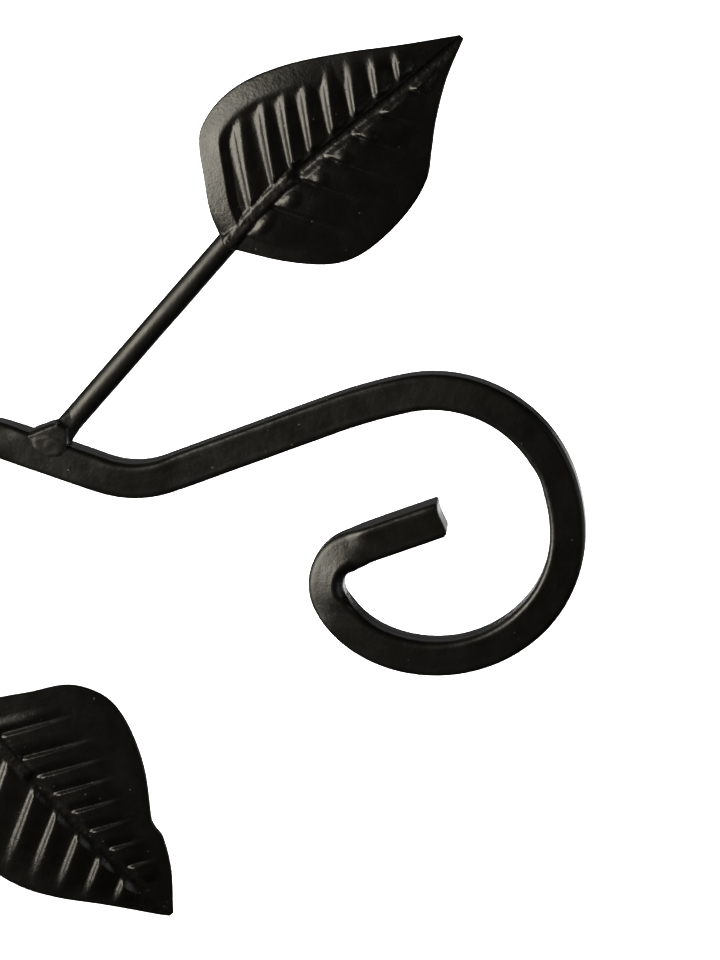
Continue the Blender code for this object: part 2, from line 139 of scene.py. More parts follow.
# Weld beads; a ripple is (length, height), an unevenness (height, turns a millimetre)
BEAD_RADIUS = 1.35
BEAD_RIPPLE = (1.6, 0.16)
BEAD_UNEVEN = (0.14, 0.35)
BEAD_END_SHARE = 0.02
BEAD_STEP = 0.3
BEAD_FACETS = 14
ARM_WELD_OUT = 0.1
ARM_WELD_CORNER = 1.2
PLATE_WELD_RUN = (1.5, 12.0)
UNDER_ARM_WELD_RUN = (-14.0, 4.5)
CROSS_WELD_INSET = 1.0

# Leaves, as (along, across) from the base of each
LEAF_THICKNESS = 1.3
LEAF_FRONT = 5.4
LEAF_DOME = 4.0
LEAF_DOME_HALF_WIDTH = 30.0
LEAF_TIP_DROP = 6.0
LEAF_TIP_DROP_START = 30.0
LEAF_LENGTH = 84.0
LEAF_ROWS = 360
LEAF_BASE_ROWS = 16
LEAF_BASE_LENGTH = 3.0
LEAF_COLUMNS = 42
LEAF_COLUMN_CROWDING = 1.3
CURVE_SAMPLES = 8
UPPER_LEAF_BASE = (202.3, 124.0)
UPPER_LEAF_ANGLE = 48.8
LOWER_LEAF_BASE = (125.9, -8.7)
LOWER_LEAF_ANGLE = -48.4
UPPER_LEAF_LEFT = (
    ((-1.0, -2.2), (2.9, -10.6), (8.5, -17.8), (15.0, -25.6), (20.2, -28.3), (28.0, -28.9),
     (37.0, -26.8), (48.0, -21.0), (60.0, -12.0), (72.0, -1.6), (84.0, 8.4)),
)
UPPER_LEAF_RIGHT = (
    ((-0.4, 0.8), (6.7, 14.0), (14.5, 24.0), (23.5, 28.6), (37.0, 29.9), (48.3, 28.1),
     (56.0, 23.5), (62.9, 19.0), (73.0, 13.8), (84.0, 10.0)),
)
LOWER_LEAF_LEFT = (
    ((-0.8, -1.6), (3.5, -8.9), (8.1, -16.3), (13.4, -25.0), (20.7, -29.7), (28.0, -30.8),
     (37.1, -28.8), (47.3, -24.2), (58.9, -16.1)),
    ((58.9, -16.1), (61.3, -15.5), (65.4, -14.7), (74.0, -9.6), (84.0, -0.8)),
)
LOWER_LEAF_RIGHT = (
    ((-0.4, 1.4), (6.7, 14.0), (14.5, 24.0), (23.5, 28.6), (37.0, 29.9), (48.3, 27.0),
     (58.0, 21.0), (70.0, 11.0), (84.0, 0.8)),
)
UPPER_MIDRIB = ((-0.7, -1.4), (14.0, -1.2), (29.0, 0.3), (45.0, 2.9), (62.0, 6.0), (84.0, 9.2))
LOWER_MIDRIB = ((-0.6, 0.2), (20.0, 0.4), (50.0, 0.4), (84.0, 0.0))

# Relief of the leaves. A vein is a steep wall that faces the base, with a long fall behind it;
# veins are given by where they leave the midrib.
VEIN_ANGLES = {"upper_blade": (55.0, 67.0), "lower_blade": (64.0, 63.0)}
VEINS = {
    "upper_blade": ((0.0, 10.0, 18.9, 25.9, 32.7, 40.0, 47.6, 55.2, 62.8, 70.4),
                    (4.0, 15.4, 26.4, 35.6, 45.0, 54.6, 64.2, 73.8)),
    "lower_blade": ((1.0, 11.0, 19.9, 26.9, 33.7, 41.0, 48.6, 56.2, 63.8, 71.4),
                    (6.5, 17.6, 28.8, 38.0, 47.0, 56.0, 65.5, 75.0)),
}
# The side of a leaf whose veins have wide walls, and the walls' share of a rib: (at the midrib,
# at the reach, reach)
WIDE_WALLS = {"upper_blade": (-1, (0.22, 0.62, 28.0)), "lower_blade": (1, (0.22, 0.34, 20.0))}
NARROW_WALL = 0.15
NARROW_TOP = 0.5
VEIN_HEIGHTS = {"wide": 1.35, "narrow": 1.3}
# How a leaf leans about a point on its midrib: (along, fall towards +X, rise towards +Z)
LEAF_LEANS = {"upper_blade": (0.0, 0.0, 0.0), "lower_blade": (20.0, 0.045, 0.02)}
VEIN_ROUNDNESS = 0.75
VEIN_LINE = (0.55, 0.04, 0.06)
VEIN_START = (0.8, 3.6)
VEIN_FADES = {"wide": (0.5, 0.98), "narrow": (0.22, 0.75)}
VEIN_FIRST_FADES = {-1: (5.0, 9.0), 1: (-2.0, 11.0)}
VEIN_TIP_FADE = (68.0, 80.0)
GROOVE_DEPTH = 0.55
GROOVE_HALF_WIDTH = 3.2
RIDGE_LENGTH = 27.5
RIDGE_END = 2.8
RIDGE_HALF_WIDTH = 2.3
RIDGE_HEIGHT = 1.2
HAMMER = (0.13, 2.4)
HAMMER_FINE = (0.07, 0.9)
HAMMER_SEED = 11.0
HAMMER_REACH = (2.6, 5.5)
MARGIN_BEADS = {"upper_blade": 1.08, "lower_blade": 0.0}
MARGIN_BEAD_OUT = 6.0
MARGIN_BEAD_IN = 2.6
MARGIN_BEAD_ROUND = 0.8
MARGIN_BEAD_START = (1.0, 6.0)
MARGIN_BEAD_END = (38.0, 62.0)
# Mounds beside the midrib, on the right: (along, out, half length, half width, height)
MOUNDS = {
    "upper_blade": ((11.0, 4.6, 4.6, 2.2, 0.55), (20.8, 5.2, 3.4, 2.8, 0.65),
                    (30.3, 6.4, 2.8, 2.8, 0.75), (38.8, 6.0, 2.8, 2.8, 0.75),
                    (47.6, 6.0, 2.8, 2.8, 0.7)),
    "lower_blade": (),
}
RIM_STEPS = ((0.0, 0.45), (0.10, 0.72), (0.3, 0.92), (0.55, 1.0))

# Camera, fitted to the photograph
IMAGE_HEIGHT = 960.0
SENSOR = 36.0
FOCAL_PIXELS = 3704.9
CAMERA_AZIMUTH = 6.0
CAMERA_ELEVATION = 12.0
CAMERA_DISTANCE = 1030.0
CAMERA_ROLL = -0.112
CAMERA_TARGET = (236.8, 0.0, 58.155)

# Powder coats: (darkest, lightest, roughness, depths of the orange peel and of the grain, noise
# at which a dust speck starts and is full)
COATS = {
    "bar": ((0.0035, 0.0034, 0.0030), (0.0065, 0.0062, 0.0055), (0.33, 0.41), 0.12, 0.035,
            (0.86, 0.90)),
    "stem": ((0.0035, 0.0034, 0.0030), (0.0060, 0.0057, 0.0050), (0.37, 0.45), 0.09, 0.030,
             (0.86, 0.90)),
    "leaf": ((0.0030, 0.0029, 0.0026), (0.0055, 0.0052, 0.0046), (0.31, 0.40), 0.10, 0.060,
             (0.85, 0.89)),
}
COAT_IOR = 1.5
DUST_COLOR = (0.16, 0.155, 0.14)
# Noises of a coat: (scale, detail, roughness)
TONE_NOISE = (55.0, 4.0, 0.6)
DUST_NOISE = (1300.0, 0.0, 0.5)
GLOSS_NOISE = (160.0, 5.0, 0.65)
GLOSS_SPAN = (0.3, 0.7)
PEEL_NOISE = (450.0, 3.0, 0.6)
GRAIN_NOISE = (1500.0, 1.0, 0.5)
# Sockets of a Mix node that mixes colours
MIX_UNDER, MIX_OVER, MIX_RESULT = 6, 7, 2

# Studio, in metres
KEY_COLOR = (1.0, 0.94, 0.80)
WHITE = (1.0, 1.0, 1.0)
# Soft boxes: (name, location, target, size, radiance, colour, spread in degrees)
SOFT_BOXES = (
    ("key", (-0.333, -0.423, 0.24), (0.187, 0.037, 0.14), (0.46, 0.52), 9.3, KEY_COLOR, 180.0),
    ("low_key", (-0.398, -0.329, -0.12), (0.187, 0.037, 0.03), (0.24, 0.26), 9.3, KEY_COLOR,
     180.0),
    ("back_light", (0.05, 2.0, 0.82), (0.24, 0.0, 0.06), (2.0, 0.8), 0.25, WHITE, 180.0),
    ("side_light", (2.2, -0.3, 0.1), (0.2, 0.0, 0.05), (1.4, 1.6), 0.90, WHITE, 180.0),
)
FLOOR_BOX = ("floor_light", (0.24, 7.9, 1.1), (0.24, 7.9, 0.0), (8.0, 12.0), 3.6, WHITE, 80.0)
WORLD_DIM = 0.02
WORLD_GLOW = 1.0
WORLD_GLOW_HEIGHTS = (0.06, 0.30)
WORLD_GLOW_DEPTHS = (0.0, 0.6)
FLOOR_Z = -0.80
FLOOR_SIZE = 40.0
FLOOR_COLOR = (0.82, 0.82, 0.81)
FLOOR_ROUGHNESS = 0.9
FLOOR_SUN_STRENGTH = 6.0
FLOOR_SUN_ANGLE = 120.0
# Where the mirrored floor starts behind the bracket, and how far under the shown one it lies
MIRRORED_FLOOR_Y = 1.0
MIRRORED_FLOOR_DROP = 0.002


def direction(degrees):
    angle = math.radians(degrees)
    return math.cos(angle), math.sin(angle)


def step_from(point, heading, distance):
    dx, dz = direction(heading)
    return point[0] + dx * distance, point[1] + dz * distance


def smooth_step(value, low, high):
    t = min(max((value - low) / (high - low), 0.0), 1.0)
    return t * t * (3 - 2 * t)


def link_object(name, data):
    obj = bpy.data.objects.new(name, data)
    bpy.context.scene.collection.objects.link(obj)
    return obj


def finish_mesh(mesh, merge=0.0):
    """Merges points that lie closer than merge, turns the faces outwards and shades smooth."""
    bm = bmesh.new()
    bm.from_mesh(mesh)
    if merge:
        bmesh.ops.remove_doubles(bm, verts=bm.verts, dist=merge)
    bmesh.ops.recalc_face_normals(bm, faces=bm.faces)
    if bm.calc_volume(signed=True) < 0:
        bmesh.ops.reverse_faces(bm, faces=bm.faces)
    bm.to_mesh(mesh)
    bm.free()
    mesh.shade_smooth()


def add_piece(name, points, faces, replaced):
    """Makes one closed mesh from points in millimetres, and puts it on the body."""
    mesh = bpy.data.meshes.new(name)
    mesh.from_pydata([[c * MM for c in p] for p in points], [], faces)
    finish_mesh(mesh)
    return place(link_object(name, mesh), replaced)


def place(obj, replaced):
    """Puts a piece on the body, and hides the CAD node it stands for, if any."""
    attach(obj, BODY)
    if replaced:
        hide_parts(replaced)
    return obj


def ring_faces(count, rings):
    """Quads between rings of equal size, one after the other."""
    faces = []
    for first in range(0, (rings - 1) * count, count):
        for k in range(count):
            a, b = first + k, first + (k + 1) % count
            faces.append((a, b, b + count, a + count))
    return faces


class Bar:
    """A bent square bar: stations along its centreline, each with its heading and bend."""

    def __init__(self, start, heading, path):
        self.points = [start]
        self.headings = [heading]
        self.turns = [0.0]
        self.distances = [0.0]
        for kind, *sizes in path:
            if kind == "run":
                self.add_run(sizes[0])
            else:
                self.add_bend(*sizes)
        self.smooth_turns()

    def add_station(self, point, heading, turn, step):
        self.points.append(point)
        self.headings.append(heading)
        self.turns.append(turn)
        self.distances.append(self.distances[-1] + step)

    def add_run(self, length):
        count = math.ceil(length / STATION_STEP)
        start, heading = self.points[-1], self.headings[-1]
        for k in range(1, count + 1):
            point = step_from(start, heading, length * k / count)
            self.add_station(point, heading, 0.0, length / count)

    def add_bend(self, radius, turn):
        arc = radius * math.radians(abs(turn))
        count = math.ceil(max(arc / STATION_STEP, abs(turn) / STATION_TURN))
        side = math.copysign(90.0, turn)
        start = self.headings[-1]
        centre = step_from(self.points[-1], start + side, radius)
        for k in range(1, count + 1):
            heading = start + turn * k / count
            point = step_from(centre, heading - side, radius)
            self.add_station(point, heading, math.copysign(1.0 / radius, turn), arc / count)

    def smooth_turns(self):
        """Lets a bend's squeeze of the section start and end softly."""
        where = np.array(self.distances)
        turns = np.array(self.turns)
        weights = np.exp(-(((where[:, None] - where[None, :]) / TURN_BLEND) ** 2))
        self.turns = list(weights @ turns / weights.sum(axis=1))


def bar_section():
    """Square outline with round corners and a faint bead beside each corner."""
    flat = BAR_HALF - BAR_CORNER_RADIUS
    height, place_of_bead, width = EDGE_BEAD
    outline = []
    for k in range(4):
        nx, ny = direction(90.0 * k)
        for j in range(FACE_POINTS):
            side = flat * (2 * j / FACE_POINTS - 1)
            bead = height * math.exp(-(((abs(side) - place_of_bead) / width) ** 2))
            out = BAR_HALF + bead
            outline.append((out * nx - side * ny, out * ny + side * nx))
        cx, cy = flat * (nx - ny), flat * (ny + nx)
        for j in range(CORNER_FACETS):
            dx, dy = direction(90.0 * k + 90.0 * j / CORNER_FACETS)
            outline.append((cx + BAR_CORNER_RADIUS * dx, cy + BAR_CORNER_RADIUS * dy))
    return outline


def squeeze(stretch):
    """Share of a bar's depth left where a bend stretches it, or bulged out where it is pressed."""
    if stretch > 0:
        return 1.0 - OUTER_THINNING * stretch
    press = -stretch
    over = max(0.0, press - PRESS_CREST)
    return 1.0 + PRESS_RISE * min(press, PRESS_CREST) - PRESS_FALL * over


def bar_ring(point, heading, turn, section, shape=None, along=0.0):
    """Ring across the bar. In a bend the outer side gets narrower and the inner side wider."""
    nx, nz = direction(heading + 90.0)
    tx, tz = direction(heading)
    ring = []
    edge, drop, full = PRESS_EDGE
    for across, depth in section:
        out = 0.0
        wide = depth * squeeze(-turn * across)
        pressed = turn * across / BAR_HALF
        if pressed > 0:
            near = max(0.0, 1.0 - (BAR_HALF - abs(across)) / edge)
            wide -= math.copysign(drop * near**2 * min(1.0, pressed * BAR_HALF / full), wide)
        if shape:
            across, wide, out = shape(along, across, wide)
        x = point[0] + across * nx + out * tx
        z = point[1] + across * nz + out * tz
        ring.append((x, wide, z))
    return ring


def wavy(ring, seed):
    """Moves a ring's points a few hundredths of a millimetre, as drawn bar is never quite even."""
    depth, size = BAR_WAVE
    moved = []
    for x, y, z in ring:
        shift = noise.noise_vector(Vector((x / size + seed, y / size, z / size))) * depth
        moved.append((x + shift.x, y + shift.y, z + shift.z))
    return moved


def end_cap(points, rings_of_points, last_ring):
    """Adds shrinking rings and a centre point, and gives the faces that close the end."""
    faces = []
    count = len(last_ring)
    previous = list(last_ring)
    for ring in rings_of_points:
        first = len(points)
        points.extend(ring)
        current = list(range(first, first + count))
        faces += zip(previous, previous[1:] + previous[:1], current[1:] + current[:1], current)
        previous = current
    points.append(tuple(sum(points[i][c] for i in previous) / count for c in range(3)))
    centre = len(points) - 1
    return faces + [(a, b, centre) for a, b in zip(previous, previous[1:] + previous[:1])]


def rolled(along, across, depth, out):
    """The scroll's tip leans a little, so that more of its top shows."""
    start, end, full = TIP_ROLL
    roll = full * smooth_step(along, start, end)
    return across + roll * depth, depth - roll * across, out


def nicked(along, across, depth):
    """Marks of the bending tools on the hollow side of the arm's bends."""
    mark = 0.0
    for at, size, before, after in ARM_NICKS:
        reach = before if along < at else after
        mark += size * (1.0 - smooth_step(abs(along - at), 0.0, reach))
    return rolled(along, across - mark * smooth_step(-across, *NICK_SIDE), depth, 0.0)


def sheared(_, across, depth):
    """The cut end, with the arguments of nicked: its outline stands out as the knots say."""
    return rolled(TIP_ROLL[1], across, depth, on_line_at(SHEAR_LINE, across)[1])


def scaled(section, share):
    return [(a * share, d * share) for a, d in section]


def add_bar(name, bar, replaced, seed, shape=None, end_shape=None, end_room=0.0):
    """Lofts a bar, with both ends rounded off."""
    section = bar_section()
    points = []
    count = len(section)
    body_end = bar.distances[-1] - END_ROUNDING[0][0] - end_room
    for point, heading, turn, along in zip(bar.points, bar.headings, bar.turns, bar.distances):
        if along > body_end:
            break
        points += wavy(bar_ring(point, heading, turn, section, shape, along), seed)
    point, heading = bar.points[-1], bar.headings[-1]
    for back, share in END_ROUNDING:
        at = step_from(point, heading, -back)
        points += wavy(bar_ring(at, heading, 0.0, scaled(section, share), end_shape), seed)
    rings = len(points) // count
    faces = ring_faces(count, rings)
    last_share = END_ROUNDING[-1][1]
    caps = [bar_ring(point, heading, 0.0, scaled(section, share * last_share), end_shape)
            for share in END_SHARES]
    faces += end_cap(points, caps, range((rings - 1) * count, rings * count))
    start = [bar_ring(bar.points[0], bar.headings[0], 0.0, scaled(section, s)) for s in END_SHARES]
    faces += end_cap(points, start, range(count))
    return add_piece(name, points, faces, replaced)


def make_arm():
    bar = Bar((PLATE_THICKNESS + ARM_START_GAP, ARM_HEIGHT), 0.0, ARM_PATH)
    return bar, add_bar("arm_bar", bar, "arm", 1.0, nicked, sheared, SHEAR_ROOM)


def brace_corner():
    """Centre of the brace's quarter circle."""
    foot_x = PLATE_THICKNESS + WELD_GAP + BAR_HALF
    top_z = ARM_HEIGHT - 2 * BAR_HALF - WELD_GAP
    return foot_x + BRACE_RADIUS, top_z - BRACE_RADIUS


def make_brace():
    corner_x, corner_z = brace_corner()
    start = (corner_x - BRACE_RADIUS, corner_z - BRACE_PATH[0][1])
    bar = Bar(start, 90.0, BRACE_PATH)
    return add_bar("brace_bar", bar, "brace", 7.0)


def arc(centre_z, radius, start, sweep):
    """Points on an arc, as (y, z); a whole circle doesn't repeat its first point."""
    count = PLATE_ROUND_FACETS
    last = count if sweep < 360.0 else count - 1
    turns = [direction(start + sweep * k / count) for k in range(last + 1)]
    return [(radius * dy, centre_z + radius * dz) for dy, dz in turns]


def plate_outlines():
    """The plate's outline and its two screw holes."""
    half_width = PLATE_WIDTH / 2
    end_z = PLATE_LENGTH / 2 - half_width
    outline = arc(end_z, half_width, 0.0, 180.0) + arc(-end_z, half_width, 180.0, 180.0)
    holes = [arc(z, SCREW_HOLE_RADIUS, 0.0, 360.0) for z in (SCREW_HOLE_Z, -SCREW_HOLE_Z)]
    return [outline, *holes]


def extruded_plate():
    """The plate's mesh, lying down, with its edges rounded."""
    curve = bpy.data.curves.new("plate_outline", "CURVE")
    curve.dimensions = "2D"
    curve.fill_mode = "BOTH"
    curve.extrude = (PLATE_THICKNESS / 2 - PLATE_EDGE_RADIUS) * MM
    curve.bevel_depth = PLATE_EDGE_RADIUS * MM
    curve.bevel_resolution = PLATE_EDGE_FACETS
    curve.offset = -PLATE_EDGE_RADIUS * MM
    for outline in plate_outlines():
        spline = curve.splines.new("POLY")
        spline.points.add(len(outline) - 1)
        spline.use_cyclic_u = True
        for point, (y, z) in zip(spline.points, outline):
            point.co = (y * MM, z * MM, 0.0, 1.0)
    flat = link_object("plate_outline", curve)
    mesh = bpy.data.meshes.new_from_object(flat)
    bpy.data.objects.remove(flat)
    return mesh


def make_plate():
    """The plate, stood up against the wall."""
    mesh = extruded_plate()
    stand = Matrix(((0, 0, 1), (1, 0, 0), (0, 1, 0))).to_4x4()
    stand.translation = (PLATE_THICKNESS / 2 * MM, 0.0, 0.0)
    mesh.transform(stand)
    finish_mesh(mesh, PLATE_MERGE * MM)
    mesh.set_sharp_from_angle(angle=math.radians(PLATE_SHARP_ANGLE))
    return place(link_object("wall_plate_body", mesh), "wall_plate")


def round_ring(centre, heading, radius):
    nx, nz = direction(heading + 90.0)
    ring = []
    for k in range(STEM_FACETS):
        across, depth = direction(360.0 * k / STEM_FACETS)
        ring.append((centre[0] + radius * across * nx, radius * depth,
                     centre[1] + radius * across * nz))
    return ring


def add_stem(name, root, heading, end, replaced, seed):
    """A round rod that starts inside the bar and ends with a rounded edge behind the leaf."""
    start = step_from(root, heading, -STEM_SINK)
    length = math.dist(start, end)
    count = math.ceil(length / STEM_STEP)
    points = []
    for k in range(count):
        centre = step_from(start, heading, (length - STEM_END_ROOM) * k / (count - 1))
        points += wavy(round_ring(centre, heading, STEM_RADIUS), seed)
    for back, radius in STEM_END:
        centre = step_from(end, heading, -back)
        points += wavy(round_ring(centre, heading, radius), seed)
    faces = ring_faces(STEM_FACETS, len(points) // STEM_FACETS)
    faces.append(tuple(reversed(range(STEM_FACETS))))
    faces.append(tuple(range(len(points) - STEM_FACETS, len(points))))
    return add_piece(name, points, faces, replaced)


def line_meets_line(point, heading, other, other_heading):
    dx, dz = direction(heading)
    nx, nz = direction(other_heading + 90.0)
    gap = (other[0] - point[0]) * nx + (other[1] - point[1]) * nz
    return step_from(point, heading, gap / (dx * nx + dz * nz))


def upper_stem_root(arm):
    """Where the stem's line meets the top of the arm's falling run, and the run's heading."""
    slope_heading = ARM_PATH[1][2]
    start = next(p for p, h in zip(arm.points, arm.headings) if abs(h - slope_heading) < 1e-6)
    top = step_from(start, slope_heading + 90.0, BAR_HALF)
    return line_meets_line(UPPER_STEM_POINT, UPPER_STEM_ANGLE, top, slope_heading), slope_heading


def lower_stem_root():
    """Where the stem's line meets the hollow side of the brace."""
    corner = brace_corner()
    inner = BRACE_RADIUS - BAR_HALF
    back = LOWER_LEAF_ANGLE + 180.0
    dx, dz = direction(back)
    ox, oz = LOWER_LEAF_BASE[0] - corner[0], LOWER_LEAF_BASE[1] - corner[1]
    towards = ox * dx + oz * dz
    reach = -towards + math.sqrt(towards**2 - (ox**2 + oz**2) + inner**2)
    return step_from(LOWER_LEAF_BASE, back, reach)


def make_stems(arm):
    upper_root = upper_stem_root(arm)[0]
    upper_end = step_from(UPPER_LEAF_BASE, UPPER_LEAF_ANGLE, STEM_PAST_LEAF_BASE)
    reach = math.dist(upper_root, upper_end)
    upper_end = step_from(upper_root, UPPER_STEM_ANGLE, reach)
    lower_root = lower_stem_root()
    lower_end = step_from(LOWER_LEAF_BASE, LOWER_LEAF_ANGLE, STEM_PAST_LEAF_BASE)
    return (add_stem("upper_rod", upper_root, UPPER_STEM_ANGLE, upper_end, "upper_stem", 3.0),
            add_stem("lower_rod", lower_root, LOWER_LEAF_ANGLE, lower_end, "lower_stem", 5.0))


def hull_mesh(name, groups):
    """One mesh of the convex hulls around groups of points in millimetres."""
    bm = bmesh.new()
    for group in groups:
        verts = [bm.verts.new([c * MM for c in p]) for p in group]
        made = bmesh.ops.convex_hull(bm, input=verts)
        spare = set(made["geom_interior"]) | set(made["geom_unused"])
        bmesh.ops.delete(bm, geom=[v for v in spare if isinstance(v, bmesh.types.BMVert)],
                         context="VERTS")
    mesh = bpy.data.meshes.new(name)
    bm.to_mesh(mesh)
    bm.free()
    return mesh


def melted(name, mesh):
    """Melts overlapping hulls into one skin with soft edges."""
    rough = link_object(name, mesh)
    melt = rough.modifiers.new("melt", "REMESH")
    melt.mode = "VOXEL"
    melt.voxel_size = FOOT_VOXEL * MM
    soft = rough.modifiers.new("soft", "SMOOTH")
    soft.factor = FOOT_SOFTNESS
    soft.iterations = FOOT_SMOOTHING
    bpy.context.view_layer.update()
    graph = bpy.context.evaluated_depsgraph_get()
    skin = bpy.data.meshes.new_from_object(rough.evaluated_get(graph))
    bpy.data.objects.remove(rough)
    return skin


def hammer(mesh, depth, size, seed):
    """Pushes the skin in and out along its normals, like hammer marks."""
    normals = [vertex.normal.copy() for vertex in mesh.vertices]
    for vertex, normal in zip(mesh.vertices, normals):
        where = vertex.co / (size * MM) + Vector((seed, 0.0, 0.0))
        vertex.co += normal * noise.noise(where) * depth * MM


def add_foot(name, root, out_heading, side, stem_heading, seed):
    """The forged foot that joins a stem to its bar, with the smear of its weld."""

    def on_bar(along, out, depth):
        x, z = step_from(step_from(root, out_heading - 90.0 * side, along), out_heading, out)
        return x, depth, z

    neck_end, neck_radius = FOOT_NECK_END
    neck_ring = round_ring(step_from(root, stem_heading, neck_end), stem_heading, neck_radius)
    middle = [sum(p[c] for p in FOOT_SMEAR) / len(FOOT_SMEAR) for c in range(2)]
    smear = []
    for share, depth in FOOT_SMEAR_DEPTHS:
        for along, out in FOOT_SMEAR:
            smear.append(on_bar(middle[0] + (along - middle[0]) * share,
                                middle[1] + (out - middle[1]) * share, depth))
    lump = []
    for k in range(3):
        for way in (-1, 1):
            corner = list(FOOT_LUMP)
            corner[k] += way * FOOT_LUMP_RADIUS
            lump.append(on_bar(*corner))
    groups = ([on_bar(*p) for p in FOOT_BLOCK], [on_bar(*p) for p in FOOT_NECK] + neck_ring,
              smear, lump)
    skin = melted(name, hull_mesh(name, groups))
    hammer(skin, *FOOT_HAMMER, seed)
    skin.shade_smooth()
    return place(link_object(name, skin), None)


def make_feet(arm):
    upper_root, slope_heading = upper_stem_root(arm)
    lower_root = lower_stem_root()
    corner = brace_corner()
    inwards = math.degrees(math.atan2(corner[1] - lower_root[1], corner[0] - lower_root[0]))
    return (
        add_foot("upper_stem_foot", upper_root, slope_heading + 90.0, 1, UPPER_STEM_ANGLE,
                 11.0),
        add_foot("lower_stem_foot", lower_root, inwards, -1, LOWER_LEAF_ANGLE,
                 17.0),
    )


def bead_radius(along, length, closed, seed):
    """Radius of a bead with its ripples; an open bead gets rounded ends."""
    ripple, height = BEAD_RIPPLE
    uneven, turns = BEAD_UNEVEN
    swell = height * abs(math.sin(math.pi * along / ripple))
    swell += uneven * noise.noise(Vector((along * turns, seed, 0.0)))
    radius = BEAD_RADIUS + swell
    if closed:
        return radius
    near_end = min(along, length - along) / BEAD_RADIUS
    return radius * math.sqrt(max(BEAD_END_SHARE, 1.0 - max(0.0, 1.0 - near_end) ** 2))


def bead_path(corners, closed):
    """Centres of a bead's rings along a line of corners."""
    line = [Vector(c) for c in corners]
    if closed:
        line.append(line[0])
    path = []
    for a, b in zip(line, line[1:]):
        count = max(1, round((b - a).length / BEAD_STEP))
        path += [a.lerp(b, k / count) for k in range(count)]
    if not closed:
        path.append(line[-1])
    return path


def bead_faces(rings, closed):
    """Faces between a bead's rings, joined into a loop or closed at both ends."""
    faces = ring_faces(BEAD_FACETS, rings)
    last = (rings - 1) * BEAD_FACETS
    if closed:
        for k in range(BEAD_FACETS):
            after = (k + 1) % BEAD_FACETS
            faces.append((last + k, last + after, after, k))
    else:
        faces.append(tuple(reversed(range(BEAD_FACETS))))
        faces.append(tuple(range(last, last + BEAD_FACETS)))
    return faces


def add_bead(name, corners, seed, closed=False):
    """A rippled weld bead along a line of corners, given in millimetres."""
    path = bead_path(corners, closed)
    total = len(path)
    length = sum((b - a).length for a, b in zip(path, path[1:]))
    points = []
    along = 0.0
    for i, centre in enumerate(path):
        before = path[i - 1] if closed or i else centre
        after = path[(i + 1) % total] if closed or i < total - 1 else centre
        if i:
            along += (centre - path[i - 1]).length
        ahead = (after - before).normalized()
        side = ahead.orthogonal() if i == 0 else (side - ahead * side.dot(ahead)).normalized()
        other = ahead.cross(side)
        radius = bead_radius(along, length, closed, seed)
        for k in range(BEAD_FACETS):
            c, d = direction(360.0 * k / BEAD_FACETS)
            points.append(tuple(centre + side.normalized() * c * radius + other * d * radius))
    return add_piece(name, points, bead_faces(total, closed), None)


def square_loop(x):
    """Corners around the arm where it meets the plate."""
    reach = BAR_HALF + ARM_WELD_OUT
    flat = reach - ARM_WELD_CORNER
    loop = []
    for k in range(4):
        nx, ny = direction(90.0 * k)
        for across in (-flat, flat):
            y, z = reach * nx - across * ny, reach * ny + across * nx
            loop.append((x, y, ARM_HEIGHT + z))
    return loop


def make_beads():
    corner_x, corner_z = brace_corner()
    low = corner_z - BRACE_PATH[0][1]
    end_x = corner_x + BRACE_PATH[-1][1]
    plate_x = PLATE_THICKNESS + WELD_GAP / 2
    under_arm = ARM_HEIGHT - BAR_HALF - WELD_GAP / 2
    inset = BAR_HALF - CROSS_WELD_INSET
    beads = [add_bead("arm_weld", square_loop(plate_x), 21.0, closed=True)]
    for name, y, seed in (("front", -BAR_HALF, 23.0), ("back", BAR_HALF, 29.0)):
        upright = [(plate_x, y, low + PLATE_WELD_RUN[0]),
                   (plate_x, y, corner_z + PLATE_WELD_RUN[1])]
        level = [(corner_x + x, y, under_arm) for x in UNDER_ARM_WELD_RUN]
        beads.append(add_bead(f"brace_plate_weld_{name}", upright, seed))
        beads.append(add_bead(f"brace_arm_weld_{name}", level, seed + 3.0))
    beads.append(add_bead("brace_low_weld", [(plate_x, -inset, low), (plate_x, inset, low)],
                          31.0))
    beads.append(add_bead("brace_end_weld",
                          [(end_x, -inset, under_arm), (end_x, inset, under_arm)], 37.0))
    return beads


def smooth_run(knots):
    """Catmull-Rom curve through the knots."""
    before = tuple(2 * a - b for a, b in zip(knots[0], knots[1]))
    after = tuple(2 * a - b for a, b in zip(knots[-1], knots[-2]))
    padded = [before, *knots, after]
    line = []
    for i in range(1, len(padded) - 2):
        p0, p1, p2, p3 = padded[i - 1 : i + 3]
        for k in range(CURVE_SAMPLES):
            t = k / CURVE_SAMPLES
            line.append(tuple(
                0.5 * (2 * b + (c - a) * t + (2 * a - 5 * b + 4 * c - d) * t**2
                       + (3 * b - a - 3 * c + d) * t**3)
                for a, b, c, d in zip(p0, p1, p2, p3)
            ))
    line.append(tuple(knots[-1]))
    return line


SHEAR_LINE = smooth_run(SHEAR_KNOTS)


def margin_line(runs):
    line = []
    for run in runs:
        line += smooth_run(run)[bool(line):]
    return line


def on_line_at(line, along):
    for (a0, b0), (a1, b1) in zip(line, line[1:]):
        if a0 <= along <= a1:
            share = (along - a0) / max(a1 - a0, 1e-9)
            return along, b0 + (b1 - b0) * share
    return line[-1] if along > line[-1][0] else line[0]


def margin_share(line, start, heading):
    """How far along the margin, in points, the ray from start meets it."""
    nx, ny = direction(heading + 90.0)
    offsets = [(p[0] - start[0]) * nx + (p[1] - start[1]) * ny for p in line]
    for i, (a, b) in enumerate(zip(offsets, offsets[1:])):
        if a * b <= 0 and a != b:
            return i + a / (a - b)
    return len(line) - 1.0


def at_share(line, share):
    i = min(int(share), len(line) - 2)
    t = share - i
    return tuple(a + (b - a) * t for a, b in zip(line[i], line[i + 1]))


